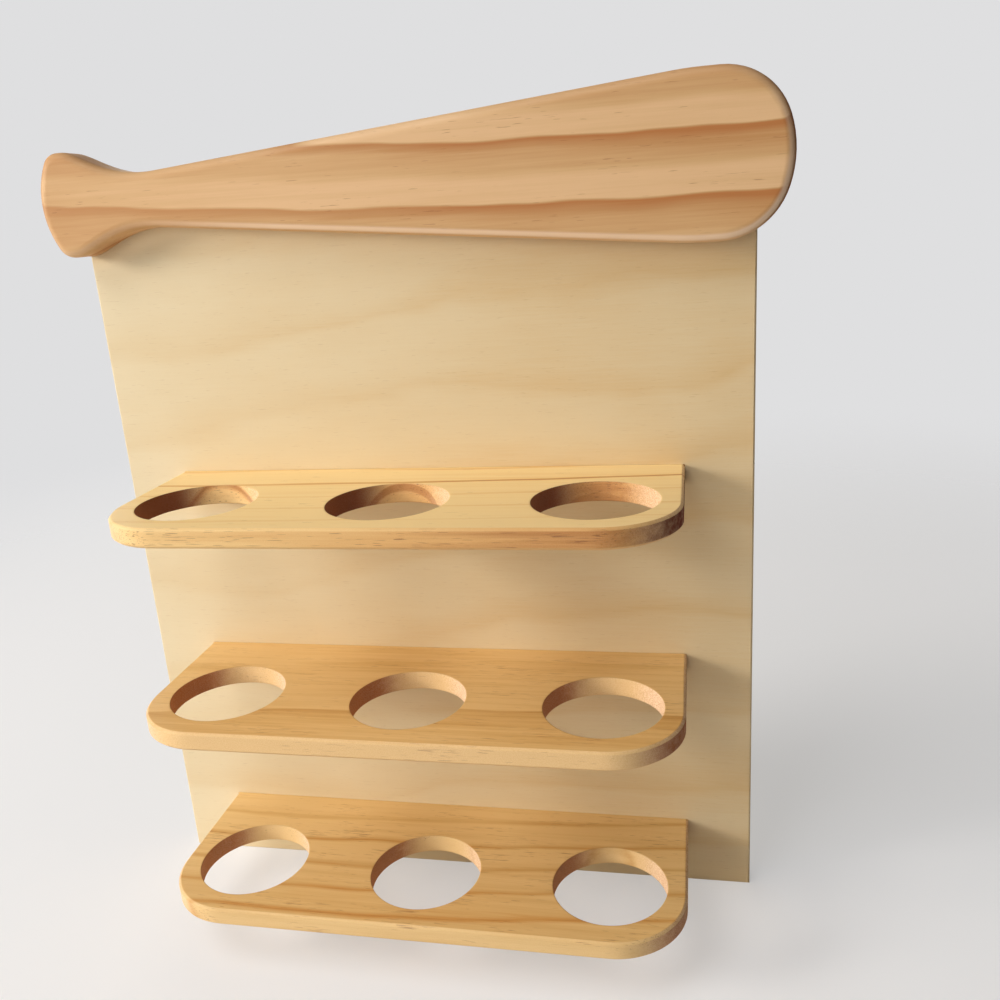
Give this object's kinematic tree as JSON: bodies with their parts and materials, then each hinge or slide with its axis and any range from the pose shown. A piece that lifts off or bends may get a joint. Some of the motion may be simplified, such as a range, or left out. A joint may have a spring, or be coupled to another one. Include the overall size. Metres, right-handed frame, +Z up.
{
  "type": "baseball wall display rack",
  "caption": "Wall rack for displaying baseballs: an upright backboard carries drilled shelves whose round holes seat the balls, under a flat topper cut to the outline of a bat.",
  "frame": {"origin": "the centre of the backboard's back face, which lies on the wall", "axes": "+X to the right as seen from the front, +Y out of the back face into the wall, +Z up"},
  "size_m": [0.377, 0.114, 0.4365],
  "materials": {
    "plywood": "pale plywood with level grain under clear satin varnish",
    "pine_bat": "solid pine with orange-brown grain bands under clear satin varnish",
    "pine_shelf": "solid honey-coloured pine under clear satin varnish",
    "hanger_steel": "stamped zinc-plated steel",
    "screw_steel": "yellow zinc-plated steel"
  },
  "bodies": {
    "root": {"backboard": "plywood", "bat_topper": "pine_bat", "shelf_upper": "pine_shelf", "shelf_middle": "pine_shelf", "shelf_lower": "pine_shelf", "hanger_left": "hanger_steel", "hanger_right": "hanger_steel", "bat_screws": "screw_steel", "hanger_left_screws": "screw_steel", "hanger_right_screws": "screw_steel"}
  },
  "joints": []
}
